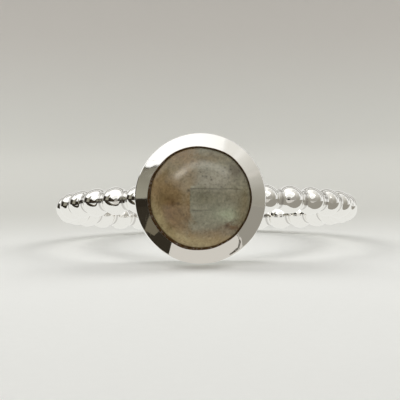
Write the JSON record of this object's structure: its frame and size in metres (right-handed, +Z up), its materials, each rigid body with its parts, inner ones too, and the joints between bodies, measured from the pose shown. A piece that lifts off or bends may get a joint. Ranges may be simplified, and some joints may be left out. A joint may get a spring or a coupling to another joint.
{
  "type": "labradorite ring",
  "caption": "Silver finger ring with a hoop of round beads and a round bezel cup that holds a domed labradorite stone.",
  "frame": {"origin": "middle of the bounding box in X and Y, on the surface that the ring rests on", "axes": "+Z up, the ring lies on its side; the stone faces -Y, tipped up 9.35 degrees; the finger hole's axis is tipped the same angle from +Z towards +Y; +X across the hoop"},
  "size_m": [0.021, 0.024, 0.0083],
  "materials": {
    "polished_silver": "high polish, as sterling silver",
    "labradorite": "polished stone, brown to blue-grey with a faint green-blue flash, opaque"
  },
  "bodies": {
    "root": {"beaded_mount": "polished_silver", "labradorite_stone": "labradorite"}
  },
  "joints": []
}
